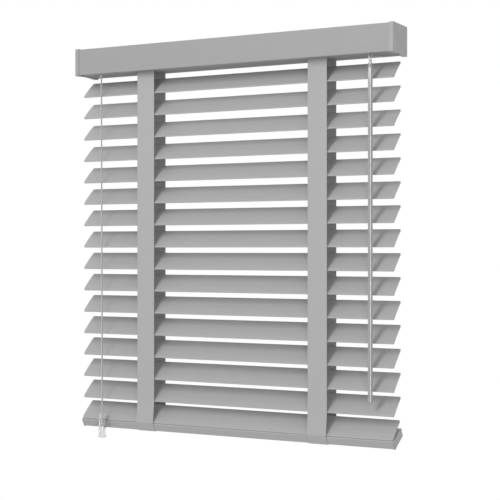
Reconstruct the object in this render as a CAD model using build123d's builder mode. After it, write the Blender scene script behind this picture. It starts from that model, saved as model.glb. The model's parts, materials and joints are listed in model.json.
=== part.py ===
"""Faux wood blind with wide ladder tapes, hung at its full drop with the slats half tilted.

X runs along the blind to the right, Y runs back towards the window and Z runs up.
The origin is at the centre of the four fixing holes, on the face that meets the ceiling.
Each tilting piece turns about a line along X. The slats turn in the plane Y = 0.
"""

import os
from math import acos, atan2, cos, hypot, radians, sin, tan

from build123d import *

os.makedirs("parts", exist_ok=True)

# General clearances, in millimetres
overrun = 2.0
seat_gap = 0.3
running_fit = 0.08

# Slats
slat_count = 15
slat_width = 48.0
slat_thickness = 2.7
slat_crown = 1.0
slat_setback = 4.5
slat_corner_radius = 3.0
slat_pitch = 42.5
slat_tilt = 41.0
slat_closed_tilt = 70.0
first_slat_gap = 29.0
route_slot_length = 16.0
route_slot_width = 5.0

# Ladder tapes
tape_width = 38.0
tape_thickness = 0.7
tape_slack = 2.7
tape_bend_share = 3.0
drum_turn_share = 0.99
ladder_inset = 150.5
rung_width = 4.0
rung_thickness = 0.5
rung_spread = 22.0

# Bottom rail
rail_width = 42.0
rail_thickness = 17.0
rail_edge_radius = 2.0
rail_pivot_height = 6.0
rail_drop = 57.0
rail_tilt = 28.0
bottom_slat_shift = 4.0
rail_cap_thickness = 1.6
rail_cap_lip = 0.8
rail_cap_bevel = 0.7
rail_pocket_length = 13.0
rail_pocket_width = 8.0
rail_pocket_depth = 8.0
plug_head_radius = 7.0
plug_head_height = 2.0
plug_shank_radius = 3.0
plug_shank_length = 6.0

# Headrail, a bent steel channel that is open at the top
channel_length = 665.0
channel_wall = 1.0
channel_height = 49.4
channel_front_room = 3.6
channel_back_room = 0.8
channel_lip = 6.0
channel_bend_radius = 1.5
cord_hole_radius = 3.0
tape_slot_margin = 0.8

# Fascia and the clips that hold it
fascia_lap = 1.0
fascia_thickness = 5.0
fascia_top_rise = 0.4
fascia_edge_radius = 1.5
clip_thickness = 1.2
clip_width = 26.0
clip_hook_length = 5.5
clip_hook_thickness = 0.8
clip_count = 3
clip_inset = 52.5

# End caps of the headrail
cap_plate = 2.0
cap_wall = 1.2
cap_lip_length = 6.0
cap_corner_radius = 2.0
cap_arch_rise = 1.4
cap_arch_length = 46.0

# Fixing brackets
bracket_thickness = 1.6
bracket_width = 40.0
bracket_inset = 100.5
bracket_overlap = 3.0
bracket_hook_depth = 2.6
fixing_hole_radius = 2.25
fixing_hole_spread = 28.0

# Tilt rod and tape drums
rod_drop = 25.0
rod_radius = 3.4
rod_end_length = 30.0
drum_radius = 9.0
drum_flange_radius = 10.4
drum_flange_thickness = 1.0
drum_journal_radius = 5.0
cradle_cheek = 2.5
cradle_base = 2.0
cradle_head_radius = 8.0
cradle_throat = 9.0

# Tilter
tilter_inset = 44.5
tilter_width = 22.0
tilter_wall = 1.2
tilter_foot_length = 16.0
tilter_foot_width = 12.0
tilter_foot_reach = 5.5
tilter_foot_drop = 2.5
eye_gap = 5.0
eye_radius = 3.8
eye_hole_radius = 2.2
eye_thickness = 2.4
worm_gap = 0.51831
stem_radius = 2.5
worm_root_radius = 3.6
worm_tip_radius = 5.4
worm_length = 14.0
worm_ridge_count = 4
gear_teeth = 13
gear_tip_radius = 11.2
gear_root_radius = 8.8
gear_width = 9.0
gear_flank_angle = 80.0

# Wand and the wire link that hangs it from the tilter
link_wire_radius = 0.75
link_half_width = 4.6
link_length = 9.0
link_corner_radius = 2.5
wand_tab_radius = 2.6
wand_tab_thickness = 4.0
wand_tab_length = 3.4
wand_cap_radius = 3.65
wand_cap_length = 9.0
wand_spigot_radius = 2.4
wand_spigot_length = 7.0
wand_radius = 4.8
wand_gap = 0.7
wand_sides = 6
wand_length = 588.0
wand_edge_bevel = 0.5
wand_end_bevel = 0.8

# Cord lock
cord_exit_inset = 50.5
lock_length = 34.0
lock_width = 10.3
lock_height = 22.0
lock_wall = 1.2
lock_floor = 1.5
lock_left_length = 12.0
lock_hole_radius = 2.4
spout_radius = 4.2
spout_length = 7.0
spout_taper = 5.0
lock_pin_radius = 3.1
lock_journal_radius = 1.5
pawl_reach = 11.0
pawl_lift = 6.5
pawl_hub_radius = 3.0
pawl_toe_gap = 0.5

# Lift cords and their tassel
cord_radius = 0.9
cord_pair_gap = 0.2
cord_run_rise = 10.0
cord_slant_start_share = 0.38
cord_slant_end_share = 0.71
cord_bend_radius = 4.0
cord_slant_radius = 12.0
cord_hang_radius = 120.0
tassel_shift = 9.0
tassel_gap = 3.3
tassel_drop = 716.0
tassel_height = 46.0
tassel_top_radius = 6.4
tassel_bottom_radius = 7.6
tassel_wall = 1.8
tassel_roof = 6.0
tassel_bore_radius = 2.2
tassel_edge_radius = 1.0
tassel_rim_radius = 1.3
cord_tail_length = 16.0

# Lengths along the blind that follow from the headrail's
slat_length = channel_length - 2 * slat_setback
ladder_reach = channel_length / 2 - ladder_inset
ladder_places = [-ladder_reach, ladder_reach]
bracket_reach = channel_length / 2 - bracket_inset
clip_pitch = (channel_length - 2 * clip_inset) / (clip_count - 1)
tilter_x = channel_length / 2 - tilter_inset
cord_exit_x = cord_exit_inset - channel_length / 2
tassel_x = cord_exit_x + tassel_shift

# Levels and reaches that follow from the sizes above
tilt = radians(slat_tilt)
closed = radians(slat_closed_tilt)
tape_inner = tape_slack + slat_width / 2 * cos(tilt)
tape_open_reach = tape_slack + slat_width / 2 + tape_thickness
tape_closed_reach = tape_slack + slat_width / 2 * cos(closed)
tape_line = tape_inner + tape_thickness / 2
inner_front = -tape_open_reach - channel_front_room
inner_back = tape_open_reach + channel_back_room
channel_front = channel_wall - inner_front
channel_back = inner_back + channel_wall
channel_top = -bracket_thickness
channel_bottom = channel_top - channel_height
floor_top = channel_bottom + channel_wall
fascia_top = channel_top + fascia_top_rise
fascia_bottom = channel_bottom - fascia_lap
fascia_back = -channel_front - clip_thickness
fascia_front = fascia_back - fascia_thickness
rod_z = -rod_drop
eye_reach = slat_width / 2 + wand_gap + wand_radius
eye_drop = eye_gap - channel_bottom
slat_levels = [channel_bottom - first_slat_gap - index * slat_pitch for index in range(slat_count)]
rail_z = slat_levels[-1] - rail_drop
rail_swing = hypot(rail_width / 2, rail_thickness - rail_pivot_height + slat_thickness)
tassel_reach = rail_swing + tassel_gap + tassel_bottom_radius
cord_step = cord_radius + cord_pair_gap / 2
cord_run_z = floor_top + cord_run_rise
cord_exit_reach = -inner_front - seat_gap - lock_width / 2


def side_plane(x):
    """A sketch plane across the blind at x, with Y to its right and Z up."""
    return Plane(origin=(x, 0, 0), x_dir=(0, 1, 0), z_dir=(1, 0, 0))


def tilted_plane(x, z, angle, y=0):
    """A sketch plane across the blind at x, y and z, turned by angle with the front edge down."""
    turn = radians(angle)
    return Plane(origin=(x, y, z), x_dir=(0, cos(turn), sin(turn)), z_dir=(1, 0, 0))


def tilted_point(across, up, z, angle):
    """The Y and Z of a point given in a tilted plane that stands at z."""
    turn = radians(angle)
    return (across * cos(turn) - up * sin(turn), z + across * sin(turn) + up * cos(turn))


def across_plane(y):
    """A sketch plane along the blind at y, with X to its right and Z up."""
    return Plane(origin=(0, y, 0), x_dir=(1, 0, 0), z_dir=(0, -1, 0))


def save(piece, name):
    """Label a finished piece and write its file."""
    piece.part.label = name
    export_step(piece.part, f"parts/{name}.step")


# The stem of the tilter leans back from the eye so that its worm just clears the gear
stem_rise = eye_drop - rod_drop
worm_reach = gear_tip_radius + worm_gap + worm_tip_radius
stem_turn = acos(worm_reach / hypot(eye_reach, stem_rise)) - atan2(stem_rise, eye_reach)

# Headrail: the bent section, then the openings punched in its floor
with BuildPart() as headrail:
    with BuildSketch(side_plane(0)):
        with BuildLine():
            front = -channel_front + channel_wall / 2
            back = channel_back - channel_wall / 2
            top = channel_top - channel_wall / 2
            bottom = channel_bottom + channel_wall / 2
            FilletPolyline(
                (front + channel_lip, top),
                (front, top),
                (front, bottom),
                (back, bottom),
                (back, top),
                (back - channel_lip, top),
                radius=channel_bend_radius,
            )
        trace(line_width=channel_wall)
    extrude(amount=channel_length / 2, both=True)
    slot_start = tape_closed_reach - seat_gap
    slot_end = tape_open_reach + seat_gap / 2
    with BuildSketch(Plane.XY.offset(channel_bottom - overrun)):
        for place in ladder_places:
            with Locations((place, -(slot_start + slot_end) / 2), (place, (slot_start + slot_end) / 2)):
                Rectangle(tape_width + 2 * tape_slot_margin, slot_end - slot_start)
            with Locations((place, 0)):
                Circle(cord_hole_radius)
        with Locations((cord_exit_x, -cord_exit_reach)):
            Circle(spout_radius + seat_gap)
        with Locations((tilter_x, tilter_foot_reach)):
            Rectangle(tilter_foot_length + 2 * seat_gap, tilter_foot_width + 2 * seat_gap)
    extrude(amount=channel_wall + 2 * overrun, mode=Mode.SUBTRACT)
    stem_plane = Plane(
        origin=(tilter_x, -eye_reach, -eye_drop),
        x_dir=(1, 0, 0),
        z_dir=(0, sin(stem_turn), cos(stem_turn)),
    )
    with BuildSketch(stem_plane):
        Circle(stem_radius + seat_gap)
    extrude(amount=eye_drop + floor_top + overrun, mode=Mode.SUBTRACT)
save(headrail, "headrail")

# Fascia board in front of the headrail
with BuildPart() as fascia:
    with BuildSketch(side_plane(0)):
        with Locations(((fascia_back + fascia_front) / 2, (fascia_top + fascia_bottom) / 2)):
            Rectangle(fascia_thickness, fascia_top - fascia_bottom)
    extrude(amount=channel_length / 2, both=True)
    fillet(fascia.edges().filter_by(Axis.X).group_by(Axis.Y)[0], fascia_edge_radius)
save(fascia, "fascia")

# Clips that hook over the front wall of the headrail and hold the fascia
with BuildPart() as fascia_clips:
    clip_plate_height = channel_height - 2 * channel_bend_radius
    for index in range(clip_count):
        clip_x = (index - (clip_count - 1) / 2) * clip_pitch
        with BuildSketch(side_plane(clip_x)):
            with Locations((fascia_back, channel_top + clip_hook_thickness)):
                Rectangle(clip_thickness, clip_plate_height, align=(Align.MIN, Align.MAX))
                Rectangle(clip_hook_length, clip_hook_thickness, align=(Align.MIN, Align.MAX))
        extrude(amount=clip_width / 2, both=True)
save(fascia_clips, "fascia_clips")

# End caps: moulded lids over the ends of the headrail and the fascia
with BuildPart() as end_cap_right:
    cap_front = fascia_front - cap_wall
    cap_back = channel_back + cap_wall
    cap_top = fascia_top + cap_wall
    cap_bottom = fascia_bottom - cap_wall
    with BuildSketch(side_plane(channel_length / 2 - cap_lip_length)):
        with Locations(((cap_front + cap_back) / 2, (cap_top + cap_bottom) / 2)):
            RectangleRounded(cap_back - cap_front, cap_top - cap_bottom, cap_corner_radius)
        with BuildLine():
            arch_middle = (cap_front + cap_back) / 2
            arch_start = (arch_middle - cap_arch_length / 2, cap_bottom)
            arch_end = (arch_middle + cap_arch_length / 2, cap_bottom)
            ThreePointArc(arch_start, (arch_middle, cap_bottom + cap_arch_rise), arch_end)
            Line(arch_end, arch_start)
        make_face(mode=Mode.SUBTRACT)
    extrude(amount=cap_lip_length + cap_plate)
    with BuildSketch(side_plane(channel_length / 2)):
        with Locations(((fascia_front + channel_back) / 2, (fascia_top + fascia_bottom) / 2)):
            Rectangle(channel_back - fascia_front, fascia_top - fascia_bottom)
    extrude(amount=-cap_lip_length - overrun, mode=Mode.SUBTRACT)
save(end_cap_right, "end_cap_right")

with BuildPart() as end_cap_left:
    mirror(end_cap_right.part, about=Plane.YZ)
save(end_cap_left, "end_cap_left")

# Fixing brackets: top plates that grip the lips of the headrail
lip_front_edge = inner_front + channel_lip - channel_wall / 2
lip_back_edge = inner_back - channel_lip + channel_wall / 2
lip_bottom = channel_top - channel_wall


def make_bracket(place):
    """One top plate with a hook under each lip and two screw holes."""
    hook_bottom = lip_bottom - seat_gap - bracket_thickness
    with BuildPart() as bracket:
        with BuildSketch(side_plane(place)):
            plate_start = lip_front_edge - bracket_overlap
            plate_end = lip_back_edge + bracket_overlap
            with Locations(((plate_start + plate_end) / 2, channel_top + bracket_thickness / 2)):
                Rectangle(plate_end - plate_start, bracket_thickness)
            with Locations((lip_front_edge + seat_gap, channel_top)):
                Rectangle(bracket_thickness, channel_top - hook_bottom, align=(Align.MIN, Align.MAX))
            with Locations((lip_back_edge - seat_gap, channel_top)):
                Rectangle(bracket_thickness, channel_top - hook_bottom, align=(Align.MAX, Align.MAX))
            with Locations((lip_front_edge + seat_gap, hook_bottom)):
                Rectangle(bracket_hook_depth, bracket_thickness, align=(Align.MAX, Align.MIN))
            with Locations((lip_back_edge - seat_gap, hook_bottom)):
                Rectangle(bracket_hook_depth, bracket_thickness, align=(Align.MIN, Align.MIN))
        extrude(amount=bracket_width / 2, both=True)
        with BuildSketch(Plane.XY.offset(overrun)):
            with Locations((place, -fixing_hole_spread / 2), (place, fixing_hole_spread / 2)):
                Circle(fixing_hole_radius)
        extrude(amount=-bracket_thickness - 2 * overrun, mode=Mode.SUBTRACT)
    return bracket


save(make_bracket(-bracket_reach), "bracket_left")
save(make_bracket(bracket_reach), "bracket_right")

# Cradles that carry the tape drums
drum_half = tape_width / 2 + drum_flange_thickness
cheek_start = drum_half + seat_gap
cheek_end = cheek_start + cradle_cheek


def make_cradle(place):
    """Two cheeks with open bearings on one base, with ways through for the lift cords."""
    base_half = slot_start - drum_flange_thickness
    with BuildPart() as cradle:
        with BuildSketch(Plane.XY.offset(floor_top)):
            with Locations((place, 0)):
                Rectangle(2 * cheek_end, 2 * base_half)
                Circle(cord_hole_radius, mode=Mode.SUBTRACT)
        extrude(amount=cradle_base)
        for side in (-cheek_end, cheek_start):
            with BuildSketch(side_plane(place + side)):
                with Locations((0, floor_top)):
                    Rectangle(2 * base_half, rod_z - floor_top, align=(Align.CENTER, Align.MIN))
                with Locations((0, rod_z)):
                    Circle(cradle_head_radius)
                    Circle(drum_journal_radius + running_fit, mode=Mode.SUBTRACT)
                    Rectangle(
                        cradle_throat,
                        cradle_head_radius + overrun,
                        align=(Align.CENTER, Align.MIN),
                        mode=Mode.SUBTRACT,
                    )
                with Locations((0, cord_run_z)):
                    Circle(cord_hole_radius, mode=Mode.SUBTRACT)
            extrude(amount=cradle_cheek)
    return cradle


# Tape drums, keyed on the rod
def make_drum(place):
    """A barrel with two flanges and a journal at each end."""
    with BuildPart() as drum:
        for radius, half in (
            (drum_radius, drum_half),
            (drum_journal_radius, cheek_end + seat_gap),
        ):
            with BuildSketch(side_plane(place)):
                with Locations((0, rod_z)):
                    Circle(radius)
            extrude(amount=half, both=True)
        for side in (-drum_half, drum_half - drum_flange_thickness):
            with BuildSketch(side_plane(place + side)):
                with Locations((0, rod_z)):
                    Circle(drum_flange_radius)
            extrude(amount=drum_flange_thickness)
        with BuildSketch(side_plane(place)):
            with Locations((0, rod_z)):
                RegularPolygon(rod_radius, side_count=wand_sides)
        extrude(amount=cheek_end + overrun, both=True, mode=Mode.SUBTRACT)
    return drum


for place, side_name in zip(ladder_places, ("left", "right")):
    save(make_cradle(place), f"drum_cradle_{side_name}")
    save(make_drum(place), f"tape_drum_{side_name}")

# Tilt rod
with BuildPart() as tilt_rod:
    rod_start = ladder_places[0] - rod_end_length
    rod_end = tilter_x + tilter_width / 2
    with BuildSketch(side_plane(rod_start)):
        with Locations((0, rod_z)):
            RegularPolygon(rod_radius, side_count=wand_sides)
    extrude(amount=rod_end - rod_start)
save(tilt_rod, "tilt_rod")

# Tilter gear on the rod
with BuildPart() as tilter_gear:
    tooth_angle = 360 / gear_teeth
    with BuildSketch(side_plane(tilter_x)):
        with Locations((0, rod_z)):
            Circle(gear_root_radius)
            tooth_height = gear_tip_radius - gear_root_radius
            tooth_base = gear_root_radius * radians(tooth_angle)
            tooth_base_share = 0.62
            with PolarLocations(gear_root_radius, gear_teeth):
                Trapezoid(
                    tooth_base * tooth_base_share,
                    2 * tooth_height,
                    gear_flank_angle,
                    rotation=-90,
                )
            RegularPolygon(rod_radius, side_count=wand_sides, mode=Mode.SUBTRACT)
    extrude(amount=gear_width / 2, both=True)
save(tilter_gear, "tilter_gear")

# Tilter worm: a stem with a worm at its upper end and an eye for the wand at its lower end
worm_middle = eye_reach * sin(stem_turn) + stem_rise * cos(stem_turn)
worm_start = worm_middle - worm_length / 2
worm_end = worm_middle + worm_length / 2
stem_end = worm_end + stem_radius
with BuildPart() as tilter_worm:
    with BuildSketch(across_plane(-eye_reach)):
        with Locations((tilter_x, -eye_drop)):
            Circle(eye_radius)
    extrude(amount=eye_thickness / 2, both=True)
    with BuildSketch(stem_plane.offset(eye_hole_radius)):
        Circle(stem_radius)
    extrude(amount=stem_end - eye_hole_radius)
    with BuildSketch(stem_plane.offset(worm_start)):
        Circle(worm_root_radius)
    extrude(amount=worm_length)
    ridge_pitch = worm_length / worm_ridge_count
    ridge_share = 0.5
    for index in range(worm_ridge_count):
        with BuildSketch(stem_plane.offset(worm_start + (index + ridge_share / 2) * ridge_pitch)):
            Circle(worm_tip_radius)
        extrude(amount=ridge_pitch * ridge_share)
    with BuildSketch(across_plane(-eye_reach)):
        with Locations((tilter_x, -eye_drop)):
            Circle(eye_hole_radius)
    extrude(amount=eye_thickness, both=True, mode=Mode.SUBTRACT)
save(tilter_worm, "tilter_worm")

# Tilter housing round the gear and the worm
with BuildPart() as tilter_housing:
    shell_front = inner_front + seat_gap
    shell_back = gear_tip_radius + seat_gap + tilter_wall
    shell_top = lip_bottom - cap_wall
    shell_shoulder = rod_z + gear_tip_radius
    with BuildSketch(side_plane(tilter_x)):
        with BuildLine():
            FilletPolyline(
                (shell_front, floor_top),
                (shell_back, floor_top),
                (shell_back, shell_shoulder),
                (stem_radius, shell_top),
                (shell_front / 2, shell_top),
                (shell_front, shell_shoulder),
                radius=channel_bend_radius,
                close=True,
            )
        make_face()
    extrude(amount=tilter_width / 2, both=True)
    with BuildSketch(Plane.XY.offset(floor_top)):
        with Locations((tilter_x, tilter_foot_reach)):
            Rectangle(tilter_foot_length, tilter_foot_width)
    extrude(amount=-channel_wall - tilter_foot_drop)
    with BuildSketch(side_plane(tilter_x)):
        with Locations((0, rod_z)):
            Circle(gear_tip_radius + seat_gap)
    extrude(amount=gear_width / 2 + seat_gap, both=True, mode=Mode.SUBTRACT)
    with BuildSketch(side_plane(tilter_x)):
        with Locations((0, rod_z)):
            Circle(rod_radius + running_fit)
    extrude(amount=tilter_width, both=True, mode=Mode.SUBTRACT)
    with BuildSketch(stem_plane):
        Circle(stem_radius + running_fit)
    extrude(amount=stem_end + seat_gap, mode=Mode.SUBTRACT)
    with BuildSketch(stem_plane.offset(worm_start - seat_gap)):
        Circle(worm_tip_radius + seat_gap)
    extrude(amount=worm_length + 2 * seat_gap, mode=Mode.SUBTRACT)
save(tilter_housing, "tilter_housing")

# Wire link between the eye of the tilter and the wand
link_bottom = -eye_drop - link_length
with BuildPart() as wand_link:
    with BuildLine(Plane(origin=(tilter_x, -eye_reach, 0), x_dir=(0, 1, 0), z_dir=(1, 0, 0))):
        link_path = FilletPolyline(
            (-link_half_width, -eye_drop),
            (link_half_width, -eye_drop),
            (link_half_width, link_bottom),
            (-link_half_width, link_bottom),
            radius=link_corner_radius,
            close=True,
        )
    with BuildSketch(Plane(origin=link_path @ 0, z_dir=link_path % 0)):
        Circle(link_wire_radius)
    sweep()
save(wand_link, "wand_link")

# Wand: a cap that hangs on the link, and the faceted stick plugged into it
cap_tab_bottom = link_bottom - wand_tab_length
cap_end = cap_tab_bottom - wand_cap_length
wand_axis = Plane(origin=(tilter_x, -eye_reach, 0))
with BuildPart() as wand_cap:
    with BuildSketch(across_plane(-eye_reach)):
        with Locations((tilter_x, link_bottom)):
            Circle(wand_tab_radius)
            Rectangle(2 * wand_tab_radius, wand_tab_length, align=(Align.CENTER, Align.MAX))
    extrude(amount=wand_tab_thickness / 2, both=True)
    with BuildSketch(wand_axis.offset(cap_end)):
        Circle(wand_cap_radius)
    extrude(amount=wand_cap_length)
    with BuildSketch(wand_axis.offset(cap_end)):
        Circle(wand_spigot_radius)
    extrude(amount=wand_spigot_length, mode=Mode.SUBTRACT)
    with BuildSketch(across_plane(-eye_reach)):
        with Locations((tilter_x, link_bottom)):
            Circle(link_wire_radius + seat_gap)
    extrude(amount=wand_tab_thickness, both=True, mode=Mode.SUBTRACT)
save(wand_cap, "wand_cap")

with BuildPart() as wand:
    with BuildSketch(wand_axis.offset(cap_end)):
        stick_outline = RegularPolygon(wand_radius, side_count=wand_sides)
        chamfer(stick_outline.vertices(), wand_edge_bevel)
    extrude(amount=-wand_length)
    chamfer(wand.faces().sort_by(Axis.Z)[0].edges(), wand_end_bevel)
    with BuildSketch(wand_axis.offset(cap_end)):
        Circle(wand_spigot_radius)
    extrude(amount=wand_spigot_length)
save(wand, "wand")

# Cord lock: an open tray with a fixed pin under the cords and a pawl over them
lock_left = cord_exit_x - lock_left_length
lock_front = -cord_exit_reach - lock_width / 2
pin_x = cord_exit_x + cord_radius + lock_pin_radius
pin_z = cord_run_z - cord_radius - lock_pin_radius
pawl_x = cord_exit_x + pawl_reach
pawl_z = cord_run_z + pawl_lift

with BuildPart() as lock_housing:
    with BuildSketch(Plane.XY.offset(floor_top)):
        with Locations((lock_left, lock_front)):
            Rectangle(lock_length, lock_width, align=(Align.MIN, Align.MIN))
    extrude(amount=lock_height)
    with BuildSketch(Plane.XY.offset(floor_top + lock_floor)):
        with Locations((lock_left + lock_wall, lock_front + lock_wall)):
            Rectangle(lock_length, lock_width - 2 * lock_wall, align=(Align.MIN, Align.MIN))
    extrude(amount=lock_height, mode=Mode.SUBTRACT)
    lower_edges = lock_housing.edges().filter_by(Axis.X).group_by(Axis.Z)[0]
    chamfer(lower_edges.sort_by(Axis.Y)[0], channel_bend_radius - channel_wall / 2)
    spout = Plane(origin=(cord_exit_x, -cord_exit_reach, floor_top), z_dir=(0, 0, -1))
    with BuildSketch(spout):
        Circle(spout_radius)
    extrude(amount=channel_wall + spout_length, taper=spout_taper)
    with BuildSketch(spout.offset(-lock_floor)):
        Circle(lock_hole_radius)
    extrude(amount=lock_floor + channel_wall + spout_length, mode=Mode.SUBTRACT)
    with BuildSketch(across_plane(lock_front - overrun)):
        with Locations((pin_x, pin_z), (pawl_x, pawl_z)):
            Circle(lock_journal_radius + running_fit)
    extrude(amount=-lock_width - 2 * overrun, mode=Mode.SUBTRACT)
save(lock_housing, "lock_housing")

with BuildPart() as lock_pin:
    with BuildSketch(across_plane(-cord_exit_reach)):
        with Locations((pin_x, pin_z)):
            Circle(lock_pin_radius)
    extrude(amount=lock_width / 2 - lock_wall - seat_gap, both=True)
    with BuildSketch(across_plane(-cord_exit_reach)):
        with Locations((pin_x, pin_z)):
            Circle(lock_journal_radius)
    extrude(amount=lock_width / 2, both=True)
save(lock_pin, "lock_pin")

with BuildPart() as lock_pawl:
    toe_z = cord_run_z + cord_radius + pawl_toe_gap
    with BuildSketch(across_plane(-cord_exit_reach)):
        with Locations((pawl_x, pawl_z)):
            Circle(pawl_hub_radius)
        with BuildLine():
            Polyline(
                (pawl_x + pawl_hub_radius, pawl_z),
                (pawl_x, pawl_z - pawl_hub_radius),
                (pin_x + lock_journal_radius, toe_z),
                (pin_x - lock_journal_radius, toe_z + pawl_toe_gap),
                (pawl_x, pawl_z + pawl_hub_radius),
                close=True,
            )
        make_face()
    extrude(amount=lock_width / 2 - lock_wall - seat_gap, both=True)
    with BuildSketch(across_plane(-cord_exit_reach)):
        with Locations((pawl_x, pawl_z)):
            Circle(lock_journal_radius)
    extrude(amount=lock_width / 2, both=True)
save(lock_pawl, "lock_pawl")

# Tassel: a flared clear shell over the knots of the lift cords
tassel_top = -tassel_drop
tassel_bottom = tassel_top - tassel_height
with BuildPart() as cord_tassel:
    with BuildSketch(Plane(origin=(tassel_x, -tassel_reach, 0), x_dir=(1, 0, 0), z_dir=(0, -1, 0))):
        with BuildLine():
            Polyline(
                (tassel_bore_radius, tassel_top),
                (tassel_top_radius, tassel_top),
                (tassel_bottom_radius, tassel_bottom),
                (tassel_bottom_radius - tassel_wall, tassel_bottom),
                (tassel_top_radius - tassel_wall, tassel_top - tassel_roof),
                (tassel_bore_radius, tassel_top - tassel_roof),
                close=True,
            )
        make_face()
        with Locations((tassel_bottom_radius - tassel_wall / 2, tassel_bottom)):
            Circle(tassel_rim_radius)
    revolve(axis=Axis((tassel_x, -tassel_reach, 0), (0, 0, 1)))
    fillet(cord_tassel.edges().group_by(Axis.Z)[-1].sort_by(SortBy.RADIUS)[-1], tassel_edge_radius)
save(cord_tassel, "cord_tassel")

# Lift cords: up through the slats, along the headrail, round the lock pin and down to the tassel
pocket_floor = rail_thickness - rail_pivot_height - rail_pocket_depth
cord_start = rail_z + (pocket_floor + rail_pocket_depth / 2) / cos(radians(rail_tilt))
cord_radii = [
    cord_bend_radius,
    cord_slant_radius,
    cord_slant_radius,
    cord_bend_radius,
    cord_hang_radius,
    cord_hang_radius,
]
print("cord bend radii", cord_radii)


def make_lift_cord(place, step):
    """One cord from the bottom rail at place, kept a step from its neighbour all the way."""
    way_out = cord_exit_x - ladder_places[0]
    slant_run = way_out * (cord_slant_end_share - cord_slant_start_share)
    slant_turn = atan2(cord_exit_reach, -slant_run)
    slant_x = ladder_places[0] + way_out * cord_slant_start_share - step * tan(slant_turn / 2)
    with BuildPart() as cord:
        with BuildLine():
            path = FilletPolyline(
                (place, step, cord_start),
                (place, step, cord_run_z),
                (slant_x, step, cord_run_z),
                (slant_x + slant_run, step - cord_exit_reach, cord_run_z),
                (cord_exit_x, step - cord_exit_reach, cord_run_z),
                (cord_exit_x, step - cord_exit_reach, channel_bottom - spout_length),
                (tassel_x, step - tassel_reach, tassel_top + overrun),
                (tassel_x, step - tassel_reach, tassel_top - cord_tail_length),
                radius=cord_radii,
            )
        with BuildSketch(Plane(origin=path @ 0, z_dir=path % 0)):
            Circle(cord_radius)
        sweep()
    return cord


for place, step, side_name in zip(ladder_places, (-cord_step, cord_step), ("left", "right")):
    save(make_lift_cord(place, step), f"lift_cord_{side_name}")

# Slats: a crowned section with rounded edges and corners, and two slots for the lift cords
edge_centre = (slat_width - slat_thickness) / 2
slat_rise = rung_thickness / 2 + seat_gap + slat_thickness / 2


def make_slat(z, forward=0):
    """A slat that lies on the rungs at z, or stands forward of them where it rests on the rail."""
    flat = tilted_plane(0, z, slat_tilt, -forward)
    from_above = Plane(origin=flat.origin, x_dir=(1, 0, 0), z_dir=flat.y_dir)
    slot_shift = forward / cos(tilt)
    with BuildPart() as slat:
        with BuildSketch(flat):
            with BuildLine(mode=Mode.PRIVATE):
                start = (-edge_centre, slat_rise)
                end = (edge_centre, slat_rise)
                arc = ThreePointArc(start, (0, slat_rise + slat_crown), end)
            SlotArc(arc, slat_thickness)
        extrude(amount=slat_length / 2, both=True)
        with BuildSketch(from_above):
            RectangleRounded(slat_length, slat_width, slat_corner_radius)
            with Locations(*[(place, slot_shift) for place in ladder_places]):
                SlotOverall(route_slot_length, route_slot_width, rotation=90, mode=Mode.SUBTRACT)
        extrude(amount=slat_rise + slat_crown + slat_thickness, mode=Mode.INTERSECT)
    return slat


for index, level in enumerate(slat_levels):
    save(make_slat(level), f"slat_{index + 1:02d}")

# Bottom rail with a last slat lying on it
rail_turn = radians(rail_tilt)
rail_top = rail_thickness - rail_pivot_height
rail_middle = rail_thickness / 2 - rail_pivot_height
rail_plane = tilted_plane(0, rail_z, rail_tilt)
rail_flat = Plane(origin=rail_plane.origin, x_dir=(1, 0, 0), z_dir=rail_plane.y_dir)
pocket_shift = rail_top * sin(rail_turn) / cos(rail_turn) - rail_pocket_length / 4

# The last slat rests with its front edge on the top of the rail
edge_reach = bottom_slat_shift + edge_centre * cos(tilt) + slat_rise * sin(tilt)
edge_height = (rail_top + seat_gap + slat_thickness / 2 - edge_reach * sin(rail_turn)) / cos(rail_turn)
bottom_slat_z = rail_z + edge_height + edge_centre * sin(tilt) - slat_rise * cos(tilt)
save(make_slat(bottom_slat_z, bottom_slat_shift), "bottom_slat")

with BuildPart() as bottom_rail:
    with BuildSketch(rail_plane):
        with Locations((0, rail_middle)):
            RectangleRounded(rail_width, rail_thickness, rail_edge_radius)
    extrude(amount=slat_length / 2, both=True)
    with BuildSketch(rail_flat.offset(rail_top)):
        with Locations(*[(place, pocket_shift) for place in ladder_places]):
            Rectangle(rail_pocket_width, rail_pocket_length)
    extrude(amount=-rail_pocket_depth, mode=Mode.SUBTRACT)
    with BuildSketch(rail_flat.offset(-rail_pivot_height)):
        with Locations(*[(place, 0) for place in ladder_places]):
            Circle(plug_shank_radius)
    extrude(amount=plug_shank_length, mode=Mode.SUBTRACT)
save(bottom_rail, "bottom_rail")

with BuildPart() as rail_cap_right:
    with BuildSketch(tilted_plane(slat_length / 2, rail_z, rail_tilt)):
        with Locations((0, rail_middle - rail_cap_lip / 2)):
            RectangleRounded(rail_width + 2 * rail_cap_lip, rail_thickness + rail_cap_lip, rail_edge_radius)
    extrude(amount=rail_cap_thickness)
    chamfer(rail_cap_right.faces().sort_by(Axis.X)[-1].edges(), rail_cap_bevel)
save(rail_cap_right, "rail_cap_right")

with BuildPart() as rail_cap_left:
    mirror(rail_cap_right.part, about=Plane.YZ)
save(rail_cap_left, "rail_cap_left")

# Plugs that hold the ends of the tapes under the bottom rail
with BuildPart() as tape_plugs:
    with BuildSketch(rail_flat.offset(-rail_pivot_height)):
        with Locations(*[(place, 0) for place in ladder_places]):
            Circle(plug_head_radius)
    extrude(amount=-plug_head_height)
    with BuildSketch(rail_flat.offset(-rail_pivot_height)):
        with Locations(*[(place, 0) for place in ladder_places]):
            Circle(plug_shank_radius)
    extrude(amount=plug_shank_length)
save(tape_plugs, "tape_plugs")

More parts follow.
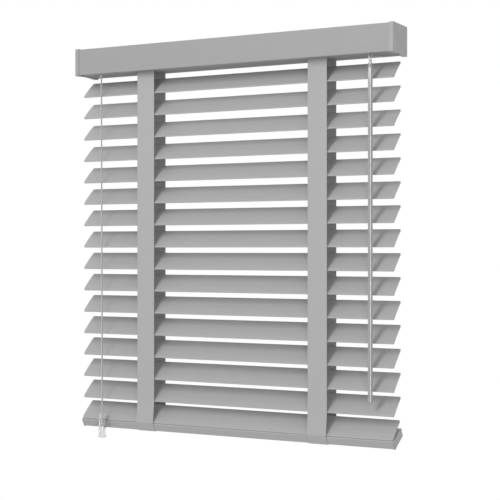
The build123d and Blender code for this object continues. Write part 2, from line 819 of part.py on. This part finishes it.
# Ladder tapes: each strap runs from its drum, past the slats, round the rail and under it
wrap = rail_width / 2 + seat_gap + tape_thickness / 2
under = -rail_pivot_height - seat_gap - tape_thickness / 2
wrap_top = rail_top + slat_thickness
tail_end = plug_head_radius + seat_gap
drum_line = drum_radius + seat_gap + tape_thickness / 2
strap_top = floor_top + tape_slot_margin
last_edge = slat_levels[-1] - slat_width / 2 * sin(tilt) - slat_thickness
wrap_radius = rail_edge_radius + seat_gap + tape_thickness / 2
strap_radius = tape_bend_share * wrap_radius


def make_front_tape(place):
    """The front strap, with the rungs that are woven into it and reach the back strap."""
    with BuildPart() as strap:
        with BuildSketch(side_plane(place)):
            with BuildLine():
                FilletPolyline(
                    (-drum_line, rod_z),
                    (-drum_line, rod_z - drum_radius),
                    (-tape_line, strap_top),
                    (-tape_line, last_edge),
                    tilted_point(-wrap, wrap_top, rail_z, rail_tilt),
                    tilted_point(-wrap, under, rail_z, rail_tilt),
                    tilted_point(-tail_end, under, rail_z, rail_tilt),
                    radius=[strap_radius, strap_radius, strap_radius, wrap_radius, wrap_radius],
                )
            trace(line_width=tape_thickness)
        extrude(amount=tape_width / 2, both=True)
        rung_start = -(tape_inner + tape_thickness / 2) / cos(tilt)
        rung_end = (tape_inner - seat_gap) / cos(tilt) - rung_thickness
        for level in slat_levels:
            for side in (-rung_spread / 2, rung_spread / 2):
                with BuildSketch(tilted_plane(place + side, level, slat_tilt)):
                    with Locations(((rung_start + rung_end) / 2, 0)):
                        Rectangle(rung_end - rung_start, rung_thickness)
                extrude(amount=rung_width / 2, both=True)
    return strap


def make_back_tape(place):
    """The back strap, which goes over the top of its drum."""
    with BuildPart() as strap:
        with BuildSketch(side_plane(place)):
            with BuildLine():
                FilletPolyline(
                    (0, rod_z + drum_line),
                    (drum_line, rod_z + drum_line),
                    (drum_line, rod_z - drum_radius),
                    (tape_line, strap_top),
                    (tape_line, slat_levels[-1]),
                    tilted_point(wrap, under, rail_z, rail_tilt),
                    tilted_point(tail_end, under, rail_z, rail_tilt),
                    radius=[drum_line * drum_turn_share, strap_radius, strap_radius, strap_radius, wrap_radius],
                )
            trace(line_width=tape_thickness)
        extrude(amount=tape_width / 2, both=True)
    return strap


for place, side_name in zip(ladder_places, ("left", "right")):
    save(make_front_tape(place), f"tape_front_{side_name}")
    save(make_back_tape(place), f"tape_back_{side_name}")
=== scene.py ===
"""Looks of the faux wood blind: finishes, woven tapes, cords, light and camera.

Everything is in metres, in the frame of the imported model. X runs along the blind, Y runs back towards
the window and Z runs up from the ceiling face, which is at 0.
"""

import json
from math import atan2, cos, hypot, pi, radians, sin, tan

import bmesh
import bpy
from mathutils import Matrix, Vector


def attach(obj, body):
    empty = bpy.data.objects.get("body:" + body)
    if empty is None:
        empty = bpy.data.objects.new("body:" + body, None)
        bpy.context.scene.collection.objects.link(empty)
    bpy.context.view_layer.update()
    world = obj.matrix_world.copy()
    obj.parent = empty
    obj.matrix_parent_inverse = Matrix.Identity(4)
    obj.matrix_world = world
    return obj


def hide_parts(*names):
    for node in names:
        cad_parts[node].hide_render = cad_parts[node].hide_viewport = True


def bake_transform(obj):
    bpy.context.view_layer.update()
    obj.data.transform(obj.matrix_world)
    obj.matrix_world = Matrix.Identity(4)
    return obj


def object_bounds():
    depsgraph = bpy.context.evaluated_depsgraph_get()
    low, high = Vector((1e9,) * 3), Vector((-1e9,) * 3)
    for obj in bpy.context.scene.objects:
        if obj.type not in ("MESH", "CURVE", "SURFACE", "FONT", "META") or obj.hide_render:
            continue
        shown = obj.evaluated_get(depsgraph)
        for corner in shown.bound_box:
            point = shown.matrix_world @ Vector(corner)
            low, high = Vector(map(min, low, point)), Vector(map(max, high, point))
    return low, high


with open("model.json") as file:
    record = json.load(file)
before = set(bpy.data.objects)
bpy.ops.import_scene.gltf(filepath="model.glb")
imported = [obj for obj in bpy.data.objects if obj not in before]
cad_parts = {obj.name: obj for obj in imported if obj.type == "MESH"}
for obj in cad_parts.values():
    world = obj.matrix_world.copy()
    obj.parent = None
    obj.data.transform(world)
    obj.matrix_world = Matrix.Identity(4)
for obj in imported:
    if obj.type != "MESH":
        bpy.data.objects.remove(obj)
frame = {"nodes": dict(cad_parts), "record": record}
cad_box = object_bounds()
nodes = frame["nodes"]

# Sizes that the tapes and cords share with the part
slat_width = 0.048
slat_thickness = 0.0027
slat_pitch = 0.0425
slat_tilt = radians(41.0)
first_slat_level = -0.080
slat_count = 15
tape_half_width = 0.019
tape_thickness = 0.0007
tape_slack = 0.0027
tape_clearance = 0.0003
ladder_places = {"left": -0.182, "right": 0.182}
rung_width = 0.004
rung_thickness = 0.0005
rung_spread = 0.022
rung_short = 0.0006
rail_half_width = 0.021
rail_thickness = 0.017
rail_pivot_height = 0.006
rail_drop = 0.057
rail_tilt = radians(28.0)
rail_edge_radius = 0.002
tape_tail_end = 0.0073
rod_level = -0.025
drum_line = 0.00965
drum_drop = 0.009
drum_turn_share = 0.99
floor_level = -0.050
front_tape_rise = 0.008
back_tape_rise = 0.040
tape_bend_radius = 0.008
cord_diameter = 0.0018
cord_step = 0.001
cord_run_level = -0.040
cord_exit = (-0.282, -0.02555)
cord_exit_level = -0.058
cord_slant_x = -0.220
cord_slant_length = 0.033
cord_rail_level = -0.72407
cord_near = 0.011
tassel_place = (-0.273, -0.035974)
tassel_top_level = -0.716
cord_end_level = -0.732

# What follows from those sizes
tape_line = tape_slack + slat_width / 2 * cos(slat_tilt) + tape_thickness / 2
last_slat_level = first_slat_level - (slat_count - 1) * slat_pitch
rail_level = last_slat_level - rail_drop
tape_last_edge = last_slat_level - slat_width / 2 * sin(slat_tilt) - slat_thickness
wrap = rail_half_width + tape_clearance + tape_thickness / 2
wrap_under = -rail_pivot_height - tape_clearance - tape_thickness / 2
wrap_top = rail_thickness - rail_pivot_height + slat_thickness
wrap_radius = rail_edge_radius + tape_clearance + tape_thickness / 2

# The knot in the tassel: turns round its middle, waves in them, and height as a share of the cord's radius
knot_radius = 0.0023
knot_level = -0.7335
knot_turns = 2
knot_waves = 3
knot_height_share = 2

# How finely the tapes, cords and knot are drawn
strap_step = 0.004
arc_step = radians(10.0)
fewest_arc_steps = 3
cord_span_points = 16
cord_roundness = 3
cord_order = 3
knot_rings = 48
knot_sides = 8


def rail_point(across, up):
    """The Y and Z of a point given across and up from the line that the bottom rail turns about."""
    return (
        across * cos(rail_tilt) - up * sin(rail_tilt),
        rail_level + across * sin(rail_tilt) + up * cos(rail_tilt),
    )


# Materials


def new_material(name, colour, roughness):
    """A plain material and its shader, for the functions below to work on."""
    material = bpy.data.materials.new(name)
    material.use_nodes = True
    shader = material.node_tree.nodes["Principled BSDF"]
    shader.inputs["Base Color"].default_value = (*colour, 1.0)
    shader.inputs["Roughness"].default_value = roughness
    return material, shader


def add_node(material, kind, **values):
    """A node with the given input values."""
    node = material.node_tree.nodes.new(kind)
    for key, value in values.items():
        node.inputs[key.replace("_", " ")].default_value = value
    return node


def link(material, start, start_socket, end, end_socket):
    """A link from an output of one node to an input of another."""
    material.node_tree.links.new(start.outputs[start_socket], end.inputs[end_socket])


def own_noise(material, scale, detail=4.0, stretch=(1.0, 1.0, 1.0)):
    """Noise in the object's own frame, made finer along X, Y and Z by the given stretch."""
    place = add_node(material, "ShaderNodeTexCoord")
    mapping = add_node(material, "ShaderNodeMapping", Scale=stretch)
    noise = add_node(material, "ShaderNodeTexNoise", Scale=scale, Detail=detail)
    link(material, place, "Object", mapping, "Vector")
    link(material, mapping, "Vector", noise, "Vector")
    return noise


def tint(material, shader, factor, socket, dark, light, low=0.3, high=0.7):
    """Colour that runs from dark to light as the factor does."""
    ramp = add_node(material, "ShaderNodeValToRGB")
    ramp.color_ramp.elements[0].position = low
    ramp.color_ramp.elements[0].color = (*dark, 1.0)
    ramp.color_ramp.elements[1].position = high
    ramp.color_ramp.elements[1].color = (*light, 1.0)
    link(material, factor, socket, ramp, "Fac")
    link(material, ramp, "Color", shader, "Base Color")


def roughen(material, shader, factor, socket, low, high):
    """Roughness that runs from low to high as the factor does."""
    spread = add_node(material, "ShaderNodeMapRange", To_Min=low, To_Max=high)
    link(material, factor, socket, spread, "Value")
    link(material, spread, "Result", shader, "Roughness")


def emboss(material, shader, factor, socket, strength, depth):
    """Fine relief of the given depth in metres."""
    bump = add_node(material, "ShaderNodeBump", Strength=strength, Distance=depth)
    link(material, factor, socket, bump, "Height")
    link(material, bump, "Normal", shader, "Normal")


def grey(level, warmth=0.0):
    """A grey of the given level, a little warmer or cooler."""
    return (level * (1 + warmth), level, level * (1 - warmth))


def shades(level, dark_share, light_share):
    """A darker and a lighter grey, as shares of one level."""
    return {"dark": grey(level * dark_share), "light": grey(level * light_share)}


def painted_slat(name, level):
    """Satin painted plastic with a faint wood grain along the blind."""
    material, shader = new_material(name, grey(level), roughness=0.42)
    grain = own_noise(material, scale=9.0, detail=6.0, stretch=(3.0, 90.0, 90.0))
    tint(material, shader, grain, "Fac", **shades(level, dark_share=0.955, light_share=1.035))
    roughen(material, shader, grain, "Fac", low=0.38, high=0.50)
    pores = own_noise(material, scale=6.0, detail=3.0, stretch=(14.0, 420.0, 420.0))
    emboss(material, shader, pores, "Fac", strength=0.25, depth=0.0001)
    shader.inputs["Specular IOR Level"].default_value = 0.4
    return material


def moulded_plastic(name, level, roughness):
    """Moulded plastic with a fine spark texture and a little unevenness."""
    material, shader = new_material(name, grey(level), roughness)
    cloud = own_noise(material, scale=40.0)
    tint(material, shader, cloud, "Fac", **shades(level, dark_share=0.95, light_share=1.04))
    fine = own_noise(material, scale=2600.0, detail=2.0)
    emboss(material, shader, fine, "Fac", strength=0.2, depth=0.00006)
    return material


def powder_coat(name, level):
    """Matt powder coat on sheet, with a faint orange peel."""
    material, shader = new_material(name, grey(level), roughness=0.7)
    peel = own_noise(material, scale=500.0, detail=2.0)
    tint(material, shader, peel, "Fac", **shades(level, dark_share=0.96, light_share=1.03))
    emboss(material, shader, peel, "Fac", strength=0.15, depth=0.00008)
    shader.inputs["Specular IOR Level"].default_value = 0.02
    return material


def plated_steel(name):
    """Zinc plate with draw marks along the blind."""
    material, shader = new_material(name, grey(level=0.55), roughness=0.32)
    shader.inputs["Metallic"].default_value = 1.0
    marks = own_noise(material, scale=8.0, stretch=(6.0, 300.0, 300.0))
    dark = grey(level=0.46, warmth=0.01)
    light = grey(level=0.62, warmth=0.02)
    tint(material, shader, marks, "Fac", dark, light)
    roughen(material, shader, marks, "Fac", low=0.24, high=0.42)
    return material


def woven_tape(name, level):
    """Close plain weave: warp along the tape, weft across it."""
    material, shader = new_material(name, grey(level), roughness=0.85)
    shader.inputs["Sheen Weight"].default_value = 0.15
    shader.inputs["Specular IOR Level"].default_value = 0.2
    place = add_node(material, "ShaderNodeTexCoord")
    threads = add_node(material, "ShaderNodeTexChecker", Scale=1700.0)
    link(material, place, "UV", threads, "Vector")
    warp = add_node(material, "ShaderNodeTexWave", Scale=270.0, Distortion=0.6, Detail=1.0)
    warp.bands_direction = "X"
    link(material, place, "UV", warp, "Vector")
    weft = add_node(material, "ShaderNodeTexWave", Scale=210.0, Distortion=0.5, Detail=1.0)
    weft.bands_direction = "Y"
    link(material, place, "UV", weft, "Vector")
    cloth = add_node(material, "ShaderNodeMix")
    link(material, threads, "Fac", cloth, "Factor")
    link(material, warp, "Fac", cloth, "A")
    link(material, weft, "Fac", cloth, "B")
    greys = shades(level, dark_share=0.84, light_share=1.06)
    tint(material, shader, cloth, "Result", **greys, low=0.0, high=0.8)
    emboss(material, shader, cloth, "Result", strength=0.5, depth=0.00022)
    return material


def braided_cord(name, level):
    """Fine braid: strands that cross along the cord."""
    material, shader = new_material(name, grey(level), roughness=0.8)
    braid = add_node(material, "ShaderNodeTexWave", Scale=330.0, Distortion=3.0, Detail=2.0)
    braid.bands_direction = "DIAGONAL"
    place = add_node(material, "ShaderNodeTexCoord")
    link(material, place, "Object", braid, "Vector")
    greys = shades(level, dark_share=0.8, light_share=1.08)
    tint(material, shader, braid, "Fac", **greys, low=0.1, high=0.8)
    emboss(material, shader, braid, "Fac", strength=0.5, depth=0.0002)
    return material


def clear_plastic(name):
    """Clear moulded plastic with a little haze."""
    material, shader = new_material(name, grey(level=0.93), roughness=0.06)
    shader.inputs["Transmission Weight"].default_value = 0.86
    shader.inputs["IOR"].default_value = 1.49
    haze = own_noise(material, scale=120.0, stretch=(1.0, 1.0, 0.15))
    roughen(material, shader, haze, "Fac", low=0.03, high=0.14)
    return material


def glossy_stick(name, level):
    """Glossy drawn plastic, faintly streaked along its length."""
    material, shader = new_material(name, grey(level), roughness=0.16)
    streaks = own_noise(material, scale=2.0, stretch=(500.0, 500.0, 6.0))
    tint(material, shader, streaks, "Fac", **shades(level, dark_share=0.9, light_share=1.08))
    roughen(material, shader, streaks, "Fac", low=0.10, high=0.24)
    shader.inputs["Coat Weight"].default_value = 1.0
    shader.inputs["Coat Roughness"].default_value = 0.05
    return material


finishes = {
    "slat_plastic": painted_slat("painted_slat", level=0.52),
    "cap_plastic": moulded_plastic("moulded_cap", level=0.44, roughness=0.4),
    "coated_steel": powder_coat("powder_coat", level=0.46),
    "bare_steel": plated_steel("plated_steel"),
    "hardware_plastic": moulded_plastic("moulded_hardware", level=0.50, roughness=0.45),
    "tape_cloth": woven_tape("woven_tape", level=0.565),
    "cord_cloth": braided_cord("braided_cord", level=0.70),
    "clear_plastic": clear_plastic("clear_plastic"),
    "wand_plastic": glossy_stick("glossy_stick", level=0.385),
}

# The fascia takes a darker copy of the slats' paint as painted shade: it is the same paint, made darker
# because the lamps light its upright face more than the tilted slats
painted_shade_finishes = {"fascia": painted_slat("fascia_painted_shade", level=0.42)}

# Every piece takes its slot's finish, except the fascia, which takes the darker copy with painted shade
for part in frame["record"]["subparts"]:
    node = nodes[part["node"]]
    node.data.materials.clear()
    node.data.materials.append(painted_shade_finishes.get(part["node"], finishes[part["material_slot"]]))


# Tapes


def rounded_line(corners, radii, step):
    """Points along straight runs joined by tangent arcs, no further apart than step."""
    line = [Vector(corners[0])]
    bends = zip(corners, corners[1:], corners[2:], radii)
    for before, corner, after, radius in bends:
        before, corner, after = Vector(before), Vector(corner), Vector(after)
        back = (before - corner).normalized()
        ahead = (after - corner).normalized()
        half = back.angle(ahead) / 2
        reach = radius / tan(half)
        centre = corner + (back + ahead).normalized() * radius / sin(half)
        first = corner + back * reach - centre
        last = corner + ahead * reach - centre
        turn = first.angle_signed(last)
        count = max(fewest_arc_steps, round(abs(turn) / arc_step))
        for index in range(count + 1):
            angle = -turn * index / count
            spoke = Vector(
                (
                    first.x * cos(angle) - first.y * sin(angle),
                    first.x * sin(angle) + first.y * cos(angle),
                )
            )
            line.append(centre + spoke)
    line.append(Vector(corners[-1]))
    points = [line[0]]
    for start, end in zip(line, line[1:]):
        count = max(1, round((end - start).length / step))
        points += [start.lerp(end, index / count) for index in range(1, count + 1)]
    return points


# Places across a strip and its half thickness there, as shares of its half width and its thickness.
# A tape is thicker at its selvedges.
selvedge_shares = [(-1.0, 0.25), (-0.985, 0.5), (-0.93, 0.5), (-0.91, 0.36), (0.0, 0.36)]
selvedge_shares += [(-across, half) for across, half in reversed(selvedge_shares[:-1])]
plain_shares = [(-1.0, 0.3), (-0.9, 0.5), (0.9, 0.5), (1.0, 0.3)]


def ribbon(name, place, points, half_width, thickness, shares):
    """A closed strip of cloth along points in Y and Z, with its section from shares, and a flat map."""
    mesh = bpy.data.meshes.new(name)
    shape = bmesh.new()
    flat = shape.loops.layers.uv.new("flat")
    rings = []
    run = 0.0
    for index, point in enumerate(points):
        ahead = points[min(index + 1, len(points) - 1)] - points[max(index - 1, 0)]
        normal = Vector((-ahead.y, ahead.x)).normalized()
        if index:
            run += (point - points[index - 1]).length
        ring = []
        for side in (1, -1):
            for across, half in shares[::side]:
                y, z = point + normal * (side * half * thickness)
                corner = shape.verts.new((place + across * half_width, y, z))
                ring.append((corner, across * half_width, run))
        rings.append(ring)
    for ring, after in zip(rings, rings[1:]):
        count = len(ring)
        for index in range(count):
            corners = [ring[index], ring[(index + 1) % count], after[(index + 1) % count], after[index]]
            face = shape.faces.new([corner[0] for corner in corners])
            for loop, corner in zip(face.loops, corners):
                loop[flat].uv = corner[1:]
    shape.faces.new([corner[0] for corner in rings[0]])
    shape.faces.new([corner[0] for corner in rings[-1]])
    bmesh.ops.recalc_face_normals(shape, faces=shape.faces)
    for face in shape.faces:
        face.smooth = True
    shape.to_mesh(mesh)
    shape.free()
    piece = bpy.data.objects.new(name, mesh)
    bpy.context.collection.objects.link(piece)
    mesh.materials.append(finishes["tape_cloth"])
    return piece


def strap(side, face, corners, radii, leader_corners, leader_radii):
    """One strap of a ladder tape, drawn down to the bottom rail and round it, with its leader."""
    place = ladder_places[side]
    section = (tape_half_width, tape_thickness, selvedge_shares)
    points = rounded_line(corners, radii, strap_step)
    piece = ribbon(f"woven_{face}_{side}", place, points, *section)
    leader_line = rounded_line(leader_corners, leader_radii, strap_step)
    leader = ribbon(f"leader_{face}_{side}", place, leader_line, *section)
    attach(leader, "head")
    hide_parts(f"tape_{face}_{side}")
    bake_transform(piece)


for side in ladder_places:
    front_top = (-tape_line, floor_level + front_tape_rise)
    front_edge = (-tape_line, tape_last_edge)
    front_wrap = rail_point(-wrap, wrap_top)
    strap(
        side,
        "front",
        [
            front_top,
            front_edge,
            front_wrap,
            rail_point(-wrap, wrap_under),
            rail_point(-tape_tail_end, wrap_under),
        ],
        [tape_bend_radius, wrap_radius, wrap_radius],
        [(-drum_line, rod_level), (-drum_line, rod_level - drum_drop), front_top],
        [tape_bend_radius],
    )
    back_top = (tape_line, floor_level + back_tape_rise)
    back_edge = (tape_line, last_slat_level)
    back_wrap = rail_point(wrap, wrap_under)
    strap(
        side,
        "back",
        [back_top, back_edge, back_wrap, rail_point(tape_tail_end, wrap_under)],
        [tape_bend_radius, wrap_radius],
        [
            (0, rod_level + drum_line),
            (drum_line, rod_level + drum_line),
            (drum_line, rod_level - drum_drop),
            (tape_line, floor_level),
        ],
        [drum_line * drum_turn_share, tape_bend_radius],
    )

# Rungs of the ladder, which turn with their slats
rung_reach = tape_line / cos(slat_tilt) - rung_short
rung_point_shares = (-1.0, -0.5, 0.0, 0.5, 1.0)
for index in range(slat_count):
    level = first_slat_level - index * slat_pitch
    ends = [
        Vector((share * rung_reach * cos(slat_tilt), level + share * rung_reach * sin(slat_tilt)))
        for share in rung_point_shares
    ]
    for side, place in ladder_places.items():
        for name, shift in (("outer", -rung_spread / 2), ("inner", rung_spread / 2)):
            rung = ribbon(
                f"rung_{name}_{side}_{index + 1:02d}",
                place + shift,
                ends,
                rung_width / 2,
                rung_thickness,
                plain_shares,
            )
            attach(rung, f"slat_{index + 1:02d}_body")


# Cords


def lift_cord(side, step):
    """A lift cord on one smooth line, from the bottom rail to the tassel, a step in Y off the middle."""
    place = ladder_places[side]
    exit_x, exit_y = cord_exit
    slant_turn = atan2(-exit_y, cord_slant_length)
    slant_x = cord_slant_x - step * tan(slant_turn / 2)
    tassel_x, tassel_y = tassel_place
    route = [
        (place, step, cord_rail_level),
        (place, step, cord_run_level - cord_near),
        (place, step, cord_run_level),
        (place - cord_near, step, cord_run_level),
        (slant_x + cord_near, step, cord_run_level),
        (slant_x, step, cord_run_level),
        (slant_x - cord_slant_length, step + exit_y, cord_run_level),
        (exit_x, step + exit_y, cord_run_level),
        (exit_x, step + exit_y, cord_exit_level),
        (tassel_x, step + tassel_y, tassel_top_level + cord_near),
        (tassel_x, step + tassel_y, cord_end_level),
    ]
    curve = bpy.data.curves.new(f"braid_{side}", "CURVE")
    curve.dimensions = "3D"
    curve.resolution_u = cord_span_points
    curve.bevel_depth = cord_diameter / 2
    curve.bevel_resolution = cord_roundness
    curve.use_fill_caps = True
    spline = curve.splines.new("NURBS")
    spline.points.add(len(route) - 1)
    for point, where in zip(spline.points, route):
        point.co = (*where, 1.0)
    spline.order_u = cord_order
    spline.use_endpoint_u = True
    cord = bpy.data.objects.new(f"braid_{side}", curve)
    bpy.context.collection.objects.link(cord)
    curve.materials.append(finishes["cord_cloth"])
    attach(cord, "head")
    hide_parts(f"lift_cord_{side}")
    length = sum(hypot(*(b - a for a, b in zip(p, q))) for p, q in zip(route, route[1:]))
    return cord, route, length


def knot():
    """The overhand knot that both cords end in, inside the tassel."""
    mesh = bpy.data.meshes.new("cord_knot")
    shape = bmesh.new()
    tube_radius = cord_diameter / 2
    rings = []
    for index in range(knot_rings):
        angle = 2 * pi * index / knot_rings
        around = knot_turns * angle
        rise = cos(knot_waves * angle) * tube_radius * knot_height_share
        spread = knot_radius + sin(knot_waves * angle) * tube_radius
        centre = Vector((cos(around) * spread, sin(around) * spread, rise))
        outward = Vector((cos(around), sin(around), 0))
        ring = []
        for step in range(knot_sides):
            turn = 2 * pi * step / knot_sides
            away = outward * cos(turn) * tube_radius + Vector((0, 0, sin(turn) * tube_radius))
            ring.append(shape.verts.new(centre + away))
        rings.append(ring)
    for ring, after in zip(rings, rings[1:] + rings[:1]):
        for step in range(knot_sides):
            beside = (step + 1) % knot_sides
            shape.faces.new((ring[step], ring[beside], after[beside], after[step]))
    bmesh.ops.recalc_face_normals(shape, faces=shape.faces)
    for face in shape.faces:
        face.smooth = True
    shape.to_mesh(mesh)
    shape.free()
    piece = bpy.data.objects.new("cord_knot", mesh)
    bpy.context.collection.objects.link(piece)
    piece.location = (*tassel_place, knot_level)
    mesh.materials.append(finishes["cord_cloth"])
    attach(piece, "head")
    return piece


ends_in = [nodes["cord_tassel"], knot()]
for side, step in (("left", -cord_step), ("right", cord_step)):
    cord, route, length = lift_cord(side, step)
    ends_in = []

# Floor, light and camera
floor_drop = 0.9
floor_size = 3.0
lowest = cad_box[0].z
bpy.ops.mesh.primitive_plane_add(size=floor_size, location=(0, 0, lowest - floor_drop))
floor = bpy.context.object
floor.name = "floor"
floor_material, floor_shader = new_material("pale_floor", grey(level=0.85), roughness=0.9)
floor_cloud = own_noise(floor_material, scale=3.0)
tint(floor_material, floor_shader, floor_cloud, "Fac", dark=grey(level=0.83), light=grey(level=0.87))
floor.data.materials.append(floor_material)

# The room lights the blind dimly, and is plain white where it is seen, mirrored or looked at
# through the clear plastic
room_strength = 0.47
white_strength = 1.0
world = bpy.data.worlds.new("studio")
world.use_nodes = True
bpy.context.scene.world = world
tree = world.node_tree
room = tree.nodes["Background"]
room.inputs["Color"].default_value = (1.0, 1.0, 1.0, 1.0)
room.inputs["Strength"].default_value = room_strength
white = tree.nodes.new("ShaderNodeBackground")
white.inputs["Color"].default_value = (1.0, 1.0, 1.0, 1.0)
white.inputs["Strength"].default_value = white_strength
rays = tree.nodes.new("ShaderNodeLightPath")
seen = tree.nodes.new("ShaderNodeMath")
seen.operation = "MAXIMUM"
seen_through = tree.nodes.new("ShaderNodeMath")
seen_through.operation = "MAXIMUM"
choose = tree.nodes.new("ShaderNodeMixShader")
tree.links.new(rays.outputs["Is Camera Ray"], seen.inputs[0])
tree.links.new(rays.outputs["Is Glossy Ray"], seen.inputs[1])
tree.links.new(seen.outputs[0], seen_through.inputs[0])
tree.links.new(rays.outputs["Is Transmission Ray"], seen_through.inputs[1])
tree.links.new(seen_through.outputs[0], choose.inputs["Fac"])
tree.links.new(room.outputs[0], choose.inputs[1])
tree.links.new(white.outputs[0], choose.inputs[2])
tree.links.new(choose.outputs[0], tree.nodes["World Output"].inputs["Surface"])


def area_light(name, place, aim, width, height, power):
    """A rectangular lamp at place, turned to aim."""
    lamp = bpy.data.lights.new(name, "AREA")
    lamp.shape = "RECTANGLE"
    lamp.size = width
    lamp.size_y = height
    lamp.energy = power
    holder = bpy.data.objects.new(name, lamp)
    bpy.context.collection.objects.link(holder)
    holder.location = place
    holder.rotation_euler = (Vector(aim) - Vector(place)).to_track_quat("-Z", "Y").to_euler()


# The key lamp stands in front of the blind, and the strip at the right makes the bright line on the wand
key_place = (-0.45, -2.5, 1.1)
key_width = 0.8
key_height = 1.8
key_power = 30.0
strip_place = (1.79, -2.02, -0.35)
strip_width = 0.12
strip_height = 1.3
strip_power = 5.5
middle = (cad_box[0] + cad_box[1]) / 2
area_light("key", key_place, middle, key_width, key_height, key_power)
area_light("strip", strip_place, middle, strip_width, strip_height, strip_power)

camera_place = (1.129, -2.099, -0.397)
camera_yaw = radians(27.54)
camera_lens = 91.15
camera_sensor = 36.0
camera_data = bpy.data.cameras.new("camera")
camera_data.lens = camera_lens
camera_data.sensor_width = camera_sensor
camera_data.sensor_fit = "HORIZONTAL"
camera = bpy.data.objects.new("camera", camera_data)
bpy.context.collection.objects.link(camera)
camera.location = camera_place
camera.rotation_euler = (pi / 2, 0, camera_yaw)
bpy.context.scene.camera = camera
bpy.context.scene.view_settings.view_transform = "Standard"
